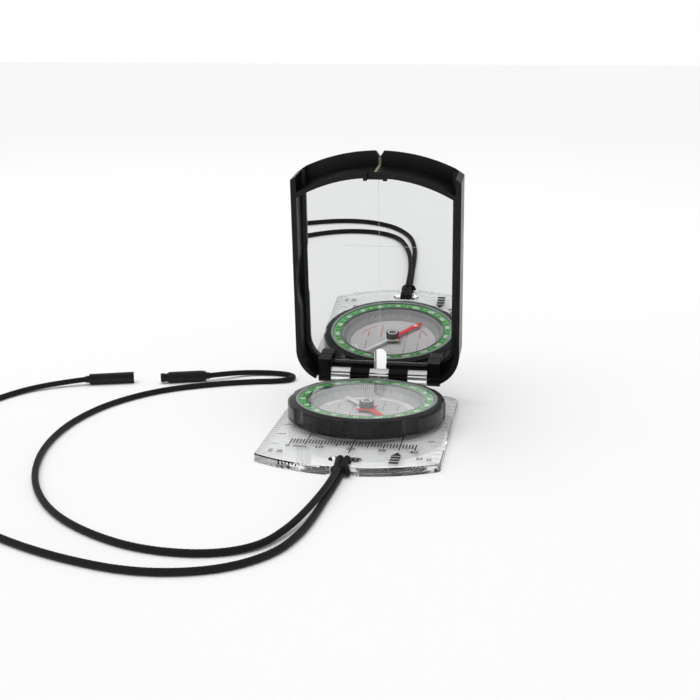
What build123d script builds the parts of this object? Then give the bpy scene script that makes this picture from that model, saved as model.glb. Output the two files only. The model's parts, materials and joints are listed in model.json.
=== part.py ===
from build123d import *
import os
from math import cos, pi, radians, sin, sqrt, tan

# Sighting compass: a clear base plate carries a turning dial with a liquid capsule and a
# magnetic needle, and a hinged lid with a mirror. A two-strand lanyard is hitched to the plate.
# Millimetres. X is across, +Y runs from the lanyard end to the hinge, +Z is up, the plate
# lies on Z = 0, and the origin is below the middle of the compass without its cord.

# ---------------------------------------------------------------- driving dimensions
DIAL_Y = 5.78                # dial axis, forward from the origin

PLATE_THICK = 2.6
PLATE_HALF = 29.07           # half width of plate and lid
PLATE_SIDE_FRONT = -42.1     # front end of the straight sides, from the dial axis
PLATE_BULGE = 8.5            # how far the curved front edge stands out
PLATE_SIDE_REAR = 24.6
PLATE_REAR = 30.6
PLATE_REAR_HINGE = 29.7      # rear edge below the hinge
PLATE_CORNER = 2.2

HINGE_Y = 30.7               # hinge axis, from the dial axis
HINGE_Z = 8.8
KNUCKLE_R = 2.75
KNUCKLE_ROOM = 0.35          # radial room round the other leaf's knuckles
PIN_R = 0.75
PIN_HALF = 21.9
BASE_KNUCKLES = [(-17.3, -10.5), (-3.4, 3.4), (10.5, 17.3)]
LID_KNUCKLES = [(-22.0, -17.5), (-10.3, -3.6), (3.6, 10.3), (17.5, 22.0)]
END_GAP = 0.2

LID_LEAN = 7.2               # degrees the open lid leans over the dial
LID_CLOSED_GAP = 0.1         # rim above the plate when closed
LID_HALF = 29.1
LID_DEPTH = 14.4             # rim to outside of the back
LID_WALL = 1.6               # shelf and foot wall
LID_SIDE_WALL = 1.95
WALL_HEAD = 78.0             # top of the straight side walls
LID_SKIN = 2.0               # back plate thickness
LID_FOOT = 7.4               # lower edge, measured along the lid from Z = 0
LID_CORNER = 12.0
LID_EDGE = 1.5               # rounding of the back's edge
SCOOP_R = 51.0               # hollow in each side wall, over the widest part of the dial
SCOOP_UP = 44.5
SCOOP_DEEP = 0.9
LID_SHOULDER = 81.2          # top of the straight sides
LID_SHOULDER_IN = 26.0
LID_SHOULDER_TOP = 83.3
LID_TOP = 89.1               # top of the sight plate
SHELF_TOP = 84.15            # outside of the arched top wall
SHELF_R = 54.7
SIGHT_SKIN = 1.9             # sight plate thickness
MIRROR_DEPTH = 8.9           # rim to mirror face
MIRROR_THICK = 1.2
TAPE_THICK = 0.3
LEDGE_DEPTH = 8.2
MIRROR_HALF = 27.0
MIRROR_FOOT = 12.3
MIRROR_CORNER = 8.0
BAR_FRONT = 3.6              # hinge bar, rim to its front
BAR_STEP = 7.5               # rim to where the bar steps up to the mirror
BAR_TOP = 11.2
BAR_CHAMFER = 1.0            # clears the dial as the lid swings
CHEEK_TOP = 14.8             # blocks at both ends of the bar
TAB_HALF = 4.05
TAB_FOOT = 81.45
TAB_TOP = 83.15
SLOT_HALF = 2.2              # sighting slot at the foot of the mirror
SLOT_TOP = 17.7
NOTCH_HALF = 2.1
NOTCH_BOTTOM = 87.0
CORD_RELIEF = 2.1            # depth cut from the top wall, over the lanyard
CORD_RELIEF_HALF = 2.7
STRIP_HALF = 0.45            # luminous strip
STRIP_PROUD = 0.15

BEZEL_R = 26.6
BEZEL_FOOT = 3.5
BEZEL_TOP = 9.72
BEZEL_STEP = 8.55            # inner step that the green ring lies on
GRIP_COUNT = 8
GRIP_START = -94.0           # degrees, middle of the first grip hollow
CAPSULE_R = 20.5
CAPSULE_IN = 19.3
CAPSULE_FOOT = 0.5
CAPSULE_SHOULDER_R = 20.18
GROOVE_FOOT = 0.75           # groove for the spring ring
GROOVE_TOP = 1.22
GROOVE_DEEP = 0.6
FLOOR_TOP = 4.6
FLOOR_THICK = 1.2
SCALE_FOOT_IN = 16.6
WINDOW_FOOT = 9.05
WINDOW_THICK = 0.6
WINDOW_R = 22.85
GREEN_R = 22.8
GREEN_IN = 20.2
TRIM_R = 23.85
SEAT_R = 23.0
SEAT_TOP = 3.4
BORE_GAP = 0.07              # dial neck in the plate
FIT = 0.02                   # bed between parts of the dial that lie on each other

NEEDLE_TURN = -52.3          # degrees, heading of the red end
ARM_NORTH = 15.2
ARM_SOUTH = 13.8
ARM_FOOT = 5.75
ARM_THICK = 0.4
FORK_HALF = 4.2              # half diagonal of the fork round the hub
FORK_BAND = 1.0
PIVOT_R = 0.34
PIVOT_TIP = 7.55
HUB_R = 2.5
HUB_TOP = 8.35
JEWEL_R = 1.27
MAGNET_R = 2.9

CORD_R = 1.0
CORD_Z = 1.02
PLUG_R = 2.1
PLUG_Z = 2.12
PLUG_TURN = 20.0             # degrees, heading of both connectors
PLUG_TIP_LONG = 2.9
PLUG_TIP_R = 1.7
PLUG_LONG = 14.2
SOCKET_LONG = 16.6
SOCKET_BORE_R = 1.75
RELIEF_LONG = 1.5
RELIEF_R = 1.25

LANYARD_SLOT_Y = -43.0
LANYARD_SLOT_LONG = 9.0
LANYARD_SLOT_WIDE = 3.2
SLOT_BAR_TOP = 2.1           # plate bar between slot and front edge
SLOT_BAR_FOOT = 0.9
CORD_BED_HALF = 2.3
KNOT_HALF = 2.8
KNOT_LONG = 2.4
KNOT_TOP = 4.1

# worked out from the dimensions above
LEAN = radians(LID_LEAN)
RIM_TO_HINGE = HINGE_Z - PLATE_THICK - LID_CLOSED_GAP
RIM_Y = HINGE_Y - (RIM_TO_HINGE - HINGE_Z * sin(LEAN)) / cos(LEAN)
HINGE_UP = HINGE_Z * cos(LEAN) - (HINGE_Y - RIM_Y) * sin(LEAN)
PLATE_FRONT = PLATE_SIDE_FRONT - PLATE_BULGE
TAPE_DEPTH = MIRROR_DEPTH + MIRROR_THICK
SEAT_DEPTH = TAPE_DEPTH + TAPE_THICK

# Lanyard routes over the table from the hitch to each connector, from the dial axis.
# The strand that ends in the plug, then the one that ends in the socket.
ROUTE_A = [
    (-0.6, -53.2, 3.12), (-0.7, -61.0, 3.12), (-1.3, -71.0, 3.12), (-2.9, -83.0, 2.7),
    (-6.0, -96.5, 1.8), (-11.2, -108.6, 1.2), (-23.0, -115.4, CORD_Z), (-40.5, -115.2, CORD_Z),
    (-57.4, -107.6, CORD_Z), (-73.0, -95.2, CORD_Z), (-85.4, -77.6, CORD_Z),
    (-93.6, -58.0, CORD_Z), (-98.2, -37.0, CORD_Z), (-98.6, -15.0, CORD_Z),
    (-93.4, 7.0, CORD_Z), (-81.0, 26.0, CORD_Z), (-63.0, 37.6, CORD_Z),
    (-49.5, 43.0, CORD_Z), (-41.6, 45.0, CORD_Z), (-36.6, 47.6, CORD_Z),
    (-36.0, 52.4, CORD_Z), (-40.0, 55.6, CORD_Z), (-48.0, 56.2, CORD_Z),
    (-56.0, 53.9, 1.3), (-61.8, 48.6, 2.0), (-67.4, 44.4, PLUG_Z),
]
ROUTE_B = [
    (0.1, -53.2, CORD_Z), (-0.1, -62.0, CORD_Z), (-0.8, -73.0, CORD_Z), (-1.3, -85.0, CORD_Z),
    (-2.6, -98.5, CORD_Z), (-6.6, -112.4, CORD_Z), (-18.0, -124.2, CORD_Z),
    (-36.6, -128.8, CORD_Z), (-57.4, -124.2, CORD_Z), (-78.0, -115.2, CORD_Z),
    (-98.6, -101.6, CORD_Z), (-117.0, -82.0, CORD_Z), (-130.0, -58.0, CORD_Z),
    (-137.6, -32.0, CORD_Z), (-138.6, -7.0, CORD_Z), (-133.4, 12.0, CORD_Z),
    (-124.0, 25.0, 1.4), (-112.2, 31.0, PLUG_Z),
]


# ---------------------------------------------------------------- helpers
def ring(outer, inner, foot, top):
    """Flat ring on the dial axis."""
    height = top - foot
    body = Cylinder(outer, height, align=(Align.CENTER, Align.CENTER, Align.MIN))
    if inner > 0:
        body -= Cylinder(inner, height, align=(Align.CENTER, Align.CENTER, Align.MIN))
    return Pos(0, 0, foot) * body


def turned(points):
    """Solid of revolution about Z from (radius, height) points."""
    face = Plane.XZ * make_face(Polyline(*points, close=True))
    return revolve(face, Axis.Z)


def block(x, y, z):
    """Box from its (low, high) spans."""
    size = Box(x[1] - x[0], y[1] - y[0], z[1] - z[0])
    return Pos((x[0] + x[1]) / 2, (y[0] + y[1]) / 2, (z[0] + z[1]) / 2) * size


def bar_x(radius, x, y, z):
    """Round bar along X over the span x."""
    return Pos((x[0] + x[1]) / 2, y, z) * Rot(0, 90, 0) * Cylinder(radius, x[1] - x[0])


def bar_y(radius, x, y, z):
    """Round bar along Y over the span y."""
    return Pos(x, (y[0] + y[1]) / 2, z) * Rot(90, 0, 0) * Cylinder(radius, y[1] - y[0])


def in_lid(shape):
    """Move a shape drawn in lid axes (x, up the lid, towards the rim) to its rest place."""
    plane = Plane(origin=(0, RIM_Y, 0), x_dir=(1, 0, 0), z_dir=(0, -cos(LEAN), -sin(LEAN)))
    return plane.location * shape


def rim_depth(shallow, deep):
    """Lid-axis span between two depths behind the rim."""
    return (-deep, -shallow)


def arch(half, apex, radius, foot, corner):
    """Face with an arched top, straight sides and two round lower corners."""
    shoulder = apex - radius + sqrt(radius * radius - half * half)
    low = foot + corner
    curve = corner * (1 - sqrt(0.5))
    edges = [
        Line((-half + corner, foot), (half - corner, foot)),
        ThreePointArc((half - corner, foot), (half - curve, foot + curve), (half, low)),
        Line((half, low), (half, shoulder)),
        ThreePointArc((half, shoulder), (0, apex), (-half, shoulder)),
        Line((-half, shoulder), (-half, low)),
        ThreePointArc((-half, low), (-half + curve, foot + curve), (-half + corner, foot)),
    ]
    return make_face(Wire(edges))


def beam(span, points):
    """Beam along X with a section of (up the lid, depth behind the rim) points."""
    corners = [(up, -depth) for up, depth in points]
    face = Plane.YZ * make_face(Polyline(*corners, close=True))
    return Pos(span[0], 0, 0) * extrude(face, amount=span[1] - span[0])


def slab(face, shallow, deep):
    """Extrude a lid-axis face between two depths behind the rim."""
    return extrude(Pos(0, 0, -deep) * face, amount=deep - shallow)


# ---------------------------------------------------------------- base plate
def plate_outline():
    half, rear = PLATE_HALF, PLATE_REAR
    corner = PLATE_REAR - PLATE_SIDE_REAR
    curve = corner * (1 - sqrt(0.5))
    inner = LID_KNUCKLES[-1][1] + END_GAP
    edges = [
        ThreePointArc((-half, PLATE_SIDE_FRONT), (0, PLATE_FRONT), (half, PLATE_SIDE_FRONT)),
        Line((half, PLATE_SIDE_FRONT), (half, PLATE_SIDE_REAR)),
        ThreePointArc((half, PLATE_SIDE_REAR), (half - curve, rear - curve), (half - corner, rear)),
        Line((half - corner, rear), (inner, rear)),
        Line((inner, rear), (inner, PLATE_REAR_HINGE)),
        Line((inner, PLATE_REAR_HINGE), (-inner, PLATE_REAR_HINGE)),
        Line((-inner, PLATE_REAR_HINGE), (-inner, rear)),
        Line((-inner, rear), (-half + corner, rear)),
        ThreePointArc((-half + corner, rear), (-half + curve, rear - curve), (-half, PLATE_SIDE_REAR)),
        Line((-half, PLATE_SIDE_REAR), (-half, PLATE_SIDE_FRONT)),
    ]
    face = make_face(Wire(edges))
    front = face.vertices().filter_by_position(Axis.Y, PLATE_SIDE_FRONT - 0.1, PLATE_SIDE_FRONT + 0.1)
    return fillet(front, PLATE_CORNER)


def lanyard_cuts():
    """Slot for the cord, its flared mouth, and the grooves that bed the hitch."""
    slot = Pos(0, LANYARD_SLOT_Y, 0) * SlotOverall(LANYARD_SLOT_LONG, LANYARD_SLOT_WIDE)
    flare = Pos(0, LANYARD_SLOT_Y, PLATE_THICK) * SlotOverall(
        LANYARD_SLOT_LONG + 1.6, LANYARD_SLOT_WIDE + 1.6)
    cuts = extrude(slot, amount=PLATE_THICK)
    cuts += extrude(flare, amount=-0.8, taper=45)
    front = (PLATE_FRONT - 1, LANYARD_SLOT_Y)
    bed = (-CORD_BED_HALF, CORD_BED_HALF)
    cuts += block(bed, front, (SLOT_BAR_TOP, PLATE_THICK))
    cuts += block(bed, front, (0, SLOT_BAR_FOOT))
    half = CORD_BED_HALF * 2
    cuts += block((-half, half), (PLATE_FRONT - 1, PLATE_FRONT + 0.9), (0, PLATE_THICK))
    return cuts


def base_plate():
    body = extrude(plate_outline(), amount=PLATE_THICK)
    body = chamfer(body.faces().sort_by(Axis.Z)[-1].edges(), 0.35)
    bore = CAPSULE_R + BORE_GAP
    body += ring(SEAT_R, bore, PLATE_THICK, SEAT_TOP)
    body -= ring(bore, 0, 0, PLATE_THICK)
    body -= ring(CAPSULE_R + 1.4, 0, 0, 1.3)
    body -= lanyard_cuts()
    for span in BASE_KNUCKLES:
        web = (HINGE_Y - KNUCKLE_R, PLATE_REAR_HINGE)
        body += block(span, web, (PLATE_THICK - 0.5, HINGE_Z))
        body += bar_x(KNUCKLE_R, span, HINGE_Y, HINGE_Z)
        body -= bar_x(PIN_R + 0.01, span, HINGE_Y, HINGE_Z)
    dimple = Pos(0, HINGE_Y - KNUCKLE_R, HINGE_Z) * Rot(90, 0, 0) * Cylinder(0.45, 1.6)
    return body - dimple


def hinge_pin():
    body = bar_x(PIN_R, (-PIN_HALF, PIN_HALF), HINGE_Y, HINGE_Z)
    return chamfer(body.edges().filter_by(GeomType.CIRCLE), 0.15)


# ---------------------------------------------------------------- lid
def lid_outline():
    """Outside of the lid with its sight plate."""
    half, low = LID_HALF, LID_FOOT + LID_CORNER
    curve = LID_CORNER * (1 - sqrt(0.5))
    edges = [
        Line((-half + LID_CORNER, LID_FOOT), (half - LID_CORNER, LID_FOOT)),
        ThreePointArc((half - LID_CORNER, LID_FOOT), (half - curve, LID_FOOT + curve), (half, low)),
        Line((half, low), (half, LID_SHOULDER)),
        Line((half, LID_SHOULDER), (LID_SHOULDER_IN, LID_SHOULDER_TOP)),
        ThreePointArc((LID_SHOULDER_IN, LID_SHOULDER_TOP), (0, LID_TOP),
                      (-LID_SHOULDER_IN, LID_SHOULDER_TOP)),
        Line((-LID_SHOULDER_IN, LID_SHOULDER_TOP), (-half, LID_SHOULDER)),
        Line((-half, LID_SHOULDER), (-half, low)),
        ThreePointArc((-half, low), (-half + curve, LID_FOOT + curve), (-half + LID_CORNER, LID_FOOT)),
    ]
    return make_face(Wire(edges))


def mirror_face(gap):
    """Outline of the mirror seat, drawn in by gap."""
    return arch(MIRROR_HALF - gap, SHELF_TOP - LID_WALL - 0.1 - gap, SHELF_R - LID_WALL,
                MIRROR_FOOT + gap, MIRROR_CORNER)


def tray_cuts():
    """Everything moulded hollow inside the lid."""
    inside = LID_HALF - LID_SIDE_WALL
    under_shelf = SHELF_TOP - LID_WALL - 0.1
    tray = arch(inside, under_shelf, SHELF_R - LID_WALL, LID_FOOT + LID_WALL, LID_CORNER - LID_SIDE_WALL)
    cuts = slab(tray, 0, LEDGE_DEPTH) + slab(mirror_face(0), LEDGE_DEPTH, SEAT_DEPTH)
    for side in (-1, 1):
        middle = side * (inside + SCOOP_DEEP - SCOOP_R)
        scoop = Pos(middle, SCOOP_UP, -LEDGE_DEPTH / 2) * Cylinder(SCOOP_R, LEDGE_DEPTH)
        reach = (0, side * LID_HALF) if side > 0 else (-LID_HALF, 0)
        cuts += scoop & block(reach, (SCOOP_UP - 15, SCOOP_UP + 15), rim_depth(0, LEDGE_DEPTH))
    above = arch(inside, LID_TOP + 20, 200, SHELF_TOP - 12, 1)
    shelf = arch(inside + 5, SHELF_TOP, SHELF_R, LID_FOOT, 1)
    return cuts + slab(above - shelf, 0, LID_DEPTH - SIGHT_SKIN) + back_hollows()


def back_hollows():
    """Six pockets behind the mirror, with ribs between them."""
    rib, foot, rows, height = 1.2, 20.0, 3, 56.0 / 3
    half = MIRROR_HALF - 3.2
    cuts = None
    for row in range(rows):
        low = foot + row * height
        for side in (-1, 1):
            wide = (half - 2 * rib) / 2
            span = (side * half / 2 - wide, side * half / 2 + wide)
            pocket = block(span, (low + rib, low + height - rib), rim_depth(SEAT_DEPTH, LID_DEPTH - LID_SKIN))
            cuts = pocket if cuts is None else cuts + pocket
    return cuts


def sight_cuts():
    """V notch in the sight plate, slot at the foot, and relief over the lanyard."""
    notch = make_face(Polyline((-NOTCH_HALF, LID_TOP + 1), (NOTCH_HALF, LID_TOP + 1),
                               (0.15, NOTCH_BOTTOM), (-0.15, NOTCH_BOTTOM), close=True))
    cuts = slab(notch, 0, LID_DEPTH + 1)
    cuts += block((-SLOT_HALF, SLOT_HALF), (0, SLOT_TOP - SLOT_HALF), rim_depth(0, LID_DEPTH + 1))
    cuts += Pos(0, SLOT_TOP - SLOT_HALF, -LID_DEPTH / 2) * Cylinder(SLOT_HALF, LID_DEPTH + 2)
    relief = (-CORD_RELIEF_HALF, CORD_RELIEF_HALF)
    return cuts + block(relief, (SHELF_TOP - 6, SHELF_TOP + 3), rim_depth(-0.1, CORD_RELIEF))


def hinge_bar():
    """Foot of the lid round the hinge, before the knuckle gaps are cut."""
    end = LID_KNUCKLES[-1][1]
    body = beam((-end, end), [
        (HINGE_UP, BAR_FRONT), (BAR_TOP - BAR_CHAMFER, BAR_FRONT), (BAR_TOP, BAR_FRONT + BAR_CHAMFER),
        (BAR_TOP, BAR_STEP), (MIRROR_FOOT, BAR_STEP), (MIRROR_FOOT, SEAT_DEPTH), (HINGE_UP, SEAT_DEPTH),
    ])
    for cheek in (LID_KNUCKLES[0], LID_KNUCKLES[-1]):
        body += block(cheek, (HINGE_UP, CHEEK_TOP), rim_depth(BAR_FRONT, LEDGE_DEPTH + 0.5))
    return body


def lid_moulding():
    """The whole lid before its straight side walls are parted off."""
    body = slab(lid_outline(), 0, LID_DEPTH)
    body = fillet(body.faces().sort_by(Axis.Z)[0].edges(), LID_EDGE)
    body -= tray_cuts()
    end = LID_KNUCKLES[-1][1] + END_GAP
    body -= block((-end, end), (LID_FOOT - 1, MIRROR_FOOT + 6), rim_depth(-1, BAR_FRONT))
    body += hinge_bar()
    body += block((-TAB_HALF, TAB_HALF), (TAB_FOOT, TAB_TOP), rim_depth(0, LEDGE_DEPTH + 0.1))
    for span in LID_KNUCKLES:
        body += bar_x(KNUCKLE_R, span, HINGE_UP, -RIM_TO_HINGE)
    room = KNUCKLE_R + KNUCKLE_ROOM
    for low, high in BASE_KNUCKLES:
        span = (low - END_GAP, high + END_GAP)
        body -= bar_x(room, span, HINGE_UP, -RIM_TO_HINGE)
        body -= block(span, (LID_FOOT - 6, HINGE_UP), rim_depth(-1, RIM_TO_HINGE + room))
        body -= block(span, (LID_FOOT - 6, BAR_TOP + 0.1), rim_depth(-1, BAR_STEP))
    body -= bar_x(PIN_R + 0.05, (-end, end), HINGE_UP, -RIM_TO_HINGE)
    return body - sight_cuts()


def wall_space(side):
    """Box that holds one straight side wall, with the scoop for the dial."""
    inside = LID_HALF - LID_SIDE_WALL
    across = (inside, LID_HALF + 1) if side > 0 else (-LID_HALF - 1, -inside)
    return block(across, (LID_FOOT + LID_CORNER, WALL_HEAD), rim_depth(-1, LID_DEPTH + 1))


def lid_shell():
    return in_lid(lid_moulding() - wall_space(-1) - wall_space(1))


def lid_wall_left():
    return in_lid(lid_moulding() & wall_space(-1))


def lid_wall_right():
    return in_lid(lid_moulding() & wall_space(1))


def mirror_slot(shallow, deep):
    cuts = block((-SLOT_HALF, SLOT_HALF), (0, SLOT_TOP - SLOT_HALF), rim_depth(shallow, deep))
    middle = -(shallow + deep) / 2
    return cuts + Pos(0, SLOT_TOP - SLOT_HALF, middle) * Cylinder(SLOT_HALF, deep - shallow)


def mirror():
    body = slab(mirror_face(0.08), MIRROR_DEPTH, TAPE_DEPTH)
    return in_lid(body - mirror_slot(MIRROR_DEPTH, TAPE_DEPTH))


def mirror_tape():
    """Frame of double-sided foam tape behind the mirror."""
    body = slab(mirror_face(0.4), TAPE_DEPTH, SEAT_DEPTH)
    body -= block((-21, 21), (23, 71), rim_depth(TAPE_DEPTH, SEAT_DEPTH))
    body -= mirror_slot(TAPE_DEPTH, SEAT_DEPTH)
    return in_lid(body - block((-3, 3), (0, SLOT_TOP + 0.8), rim_depth(TAPE_DEPTH, SEAT_DEPTH)))


def sight_line():
    """Luminous strip from the notch, down the sight plate and along the shelf."""
    wide = (-STRIP_HALF, STRIP_HALF)
    sight = LID_DEPTH - SIGHT_SKIN
    body = block(wide, (SHELF_TOP, NOTCH_BOTTOM - 0.1), rim_depth(sight - STRIP_PROUD, sight))
    body += block(wide, (SHELF_TOP, SHELF_TOP + STRIP_PROUD), rim_depth(CORD_RELIEF, sight))
    return in_lid(body)


# ---------------------------------------------------------------- dial
def bezel_ring():
    bore = CAPSULE_R + 0.03
    lip = TRIM_R + 0.05
    body = turned([
        (bore, BEZEL_FOOT), (BEZEL_R - 0.4, BEZEL_FOOT), (BEZEL_R, BEZEL_FOOT + 0.4),
        (BEZEL_R, BEZEL_TOP - 1.0), (BEZEL_R - 0.5, BEZEL_TOP - 0.4), (lip + 0.2, BEZEL_TOP),
        (lip, BEZEL_TOP), (lip, BEZEL_STEP), (bore, BEZEL_STEP),
    ])
    foot_r, top_r, deep = 7.6, 8.1, 1.05
    scoop = Cone(foot_r, top_r, 5.5, align=(Align.CENTER, Align.CENTER, Align.MIN))
    scoop = Pos(BEZEL_R - deep + top_r, 0, BEZEL_FOOT + 0.9) * scoop
    for index in range(GRIP_COUNT):
        body -= Rot(0, 0, GRIP_START + index * 360 / GRIP_COUNT) * scoop
    return body


def capsule_body():
    wall = ring(CAPSULE_R, CAPSULE_IN, CAPSULE_FOOT, WINDOW_FOOT - FIT)
    floor = ring(CAPSULE_IN + 0.2, 0, FLOOR_TOP - FLOOR_THICK, FLOOR_TOP)
    groove = ring(CAPSULE_R, CAPSULE_R - GROOVE_DEEP, GROOVE_FOOT, GROOVE_TOP)
    shoulder = ring(CAPSULE_R, CAPSULE_SHOULDER_R, BEZEL_STEP, WINDOW_FOOT)
    return wall + floor - groove - shoulder


def retaining_ring():
    """Open spring ring in the neck groove, below the lip of the plate."""
    inner = CAPSULE_R - GROOVE_DEEP + 0.05
    body = ring(CAPSULE_R + 0.7, inner, GROOVE_FOOT + 0.03, GROOVE_TOP - 0.04)
    return body - block((CAPSULE_R - 2, CAPSULE_R + 2), (-1.5, 1.5), (0, 2))


def scale_ring():
    """Sloping ring inside the capsule that carries the inner tick scale."""
    foot, top = FLOOR_TOP + FIT, WINDOW_FOOT - 0.6
    outer = CAPSULE_IN - 0.03
    return turned([(SCALE_FOOT_IN, foot), (outer, foot), (outer, top), (CAPSULE_IN - 0.25, top)])


def graduation_ring():
    return ring(GREEN_R, GREEN_IN, BEZEL_STEP + FIT, WINDOW_FOOT - 0.03)


def trim_ring():
    return ring(TRIM_R, WINDOW_R + 0.05, BEZEL_STEP + FIT, BEZEL_TOP + 0.04)


def dial_window():
    body = ring(WINDOW_R, 0, WINDOW_FOOT, WINDOW_FOOT + WINDOW_THICK)
    return chamfer(body.edges().sort_by(Axis.Z)[-1], 0.15)


def orienting_disc():
    """Printed disc on the capsule floor."""
    return ring(SCALE_FOOT_IN - 0.15, 1.75, FLOOR_TOP, FLOOR_TOP + 0.12)


def pivot_base():
    return ring(1.6, PIVOT_R + 0.02, FLOOR_TOP, FLOOR_TOP + 0.3)


def pivot_pin():
    cone = PIVOT_TIP - 0.8
    return turned([(0, FLOOR_TOP), (PIVOT_R, FLOOR_TOP), (PIVOT_R, cone), (0.05, PIVOT_TIP), (0, PIVOT_TIP)])


# ---------------------------------------------------------------- needle
def needle_arm(length, half_wide):
    """One arm of the needle along +X, forking round the hub."""
    blade = Pos(length / 2, 0, 0) * SlotOverall(length + 2 * half_wide, 2 * half_wide)
    blade &= Pos(length / 2 + FORK_HALF - 1, 0, 0) * Rectangle(length, 4)
    diamond = Rot(0, 0, 45) * Rectangle(FORK_HALF * sqrt(2), FORK_HALF * sqrt(2))
    inner = FORK_HALF * sqrt(2) - 2 * FORK_BAND
    diamond -= Rot(0, 0, 45) * Rectangle(inner, inner)
    half = diamond & (Pos(FORK_HALF, 0, 0) * Rectangle(2 * FORK_HALF, 4 * FORK_HALF))
    return Pos(0, 0, ARM_FOOT) * extrude(half + blade, amount=ARM_THICK)


def north_arm():
    return Rot(0, 0, NEEDLE_TURN) * needle_arm(ARM_NORTH, 0.85)


def south_arm():
    return Rot(0, 0, NEEDLE_TURN + 180) * needle_arm(ARM_SOUTH, 0.75)


def needle_magnet():
    return ring(MAGNET_R, 1.0, ARM_FOOT - 0.7, ARM_FOOT)


def needle_hub():
    """Cap with a collar for the two arms and a seat for the jewel."""
    top_of_arm = ARM_FOOT + ARM_THICK
    bore, collar, seat = 0.95, 1.9, 7.2
    return turned([
        (bore, ARM_FOOT), (collar, ARM_FOOT), (collar, top_of_arm), (HUB_R, top_of_arm),
        (HUB_R, HUB_TOP - 0.25), (HUB_R - 0.25, HUB_TOP), (JEWEL_R + 0.03, HUB_TOP),
        (JEWEL_R + 0.03, seat), (bore, seat),
    ])


def jewel_bearing():
    """Cup jewel whose cone runs on the pivot's tip."""
    cup, foot, top = PIVOT_TIP + 0.35, 7.21, HUB_TOP + 0.1
    return turned([
        (0, cup), (0.6, foot), (JEWEL_R, foot), (JEWEL_R, top), (1.1, top + 0.1), (0.7, top - 0.05),
        (0, top - 0.05),
    ])


# ---------------------------------------------------------------- lanyard
def lanyard_hitch():
    """Cow hitch round the plate bar: two turns over it and a knot in front."""
    rear = LANYARD_SLOT_Y + 0.1
    front = PLATE_FRONT - 0.1
    top = SLOT_BAR_TOP + CORD_R
    foot = CORD_R * 2 / 3
    knot = block((-KNOT_HALF, KNOT_HALF), (front - KNOT_LONG, front), (0.05, KNOT_TOP))
    body = fillet(knot.edges(), 1.0)
    for side in (-1, 1):
        middle = side * (CORD_R + 0.15)
        across = (middle - CORD_R, middle + CORD_R)
        body += bar_y(CORD_R, middle, (front - 1, rear + 0.3), top)
        body += Pos(middle, rear, (top + foot) / 2) * Cylinder(CORD_R, top - foot)
        body += Pos(middle, rear + 0.1, top + 0.1) * Sphere(CORD_R + 0.25)
        body += block(across, (front - 0.5, rear), (0.06, SLOT_BAR_FOOT - 0.02))
    return body


def turn_radii(points):
    """Largest smooth arc for each corner of a route."""
    radii = []
    for before, here, after in zip(points, points[1:], points[2:]):
        one, two = Vector(here) - Vector(before), Vector(after) - Vector(here)
        half_turn = radians(one.get_angle(two)) / 2
        radii.append(0.45 * min(one.length, two.length) / tan(half_turn))
    return radii


def cord(name, route):
    """Tube along straight runs joined by tangent arcs."""
    radii = turn_radii(route)
    path = FilletPolyline(*route, radius=radii)
    section = Plane(origin=path @ 0, z_dir=path % 0) * Circle(CORD_R)
    body = sweep(section, path=path)
    expected = pi * CORD_R ** 2 * path.length
    print(name, "length", round(path.length, 1), "volume ratio", round(body.volume / expected, 4))
    print(name, "radii", [round(value, 1) for value in radii])
    return body


def connector(points, place):
    """Round connector along +X, turned to lie on the table."""
    body = Rot(0, 90, 0) * turned(points)
    return Pos(*place) * Rot(0, 0, PLUG_TURN) * body


def along(start, distance):
    """Point further along the connectors' heading."""
    turn = radians(PLUG_TURN)
    return (start[0] + distance * cos(turn), start[1] + distance * sin(turn), PLUG_Z)


def plug_relief():
    points = [(0, 0), (RELIEF_R + 0.15, 0), (RELIEF_R, RELIEF_LONG), (0, RELIEF_LONG)]
    return connector(points, along(ROUTE_A[-1], -RELIEF_LONG))


def plug_body():
    points = [
        (0, 0), (PLUG_R - 0.25, 0), (PLUG_R, 0.25), (PLUG_R, PLUG_LONG - 2),
        (PLUG_R - 0.3, PLUG_LONG), (0, PLUG_LONG),
    ]
    return connector(points, along(ROUTE_A[-1], -RELIEF_LONG - PLUG_LONG))


def plug_tip():
    """Tip with one latching groove round it."""
    groove = PLUG_TIP_R - 0.2
    points = [
        (0, 0), (PLUG_TIP_R - 0.25, 0), (PLUG_TIP_R, 0.3), (PLUG_TIP_R, 1.6), (groove, 1.8),
        (groove, 2.3), (PLUG_TIP_R, 2.5), (PLUG_TIP_R, PLUG_TIP_LONG), (0, PLUG_TIP_LONG),
    ]
    return connector(points, along(ROUTE_A[-1], -RELIEF_LONG - PLUG_LONG - PLUG_TIP_LONG))


def socket_relief():
    points = [(0, 0), (RELIEF_R, 0), (RELIEF_R + 0.15, RELIEF_LONG), (0, RELIEF_LONG)]
    return connector(points, ROUTE_B[-1])


def socket_body():
    """Socket whose bore takes the plug's tip."""
    mouth, bore_end = SOCKET_LONG, SOCKET_LONG - PLUG_TIP_LONG - 0.3
    points = [
        (0, 0), (PLUG_R - 0.3, 0), (PLUG_R - 0.1, 0.3), (PLUG_R, mouth - 0.2), (PLUG_R - 0.15, mouth),
        (SOCKET_BORE_R + 0.1, mouth), (SOCKET_BORE_R, mouth - 0.2), (SOCKET_BORE_R, bore_end), (0, bore_end),
    ]
    return connector(points, along(ROUTE_B[-1], RELIEF_LONG))


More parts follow.
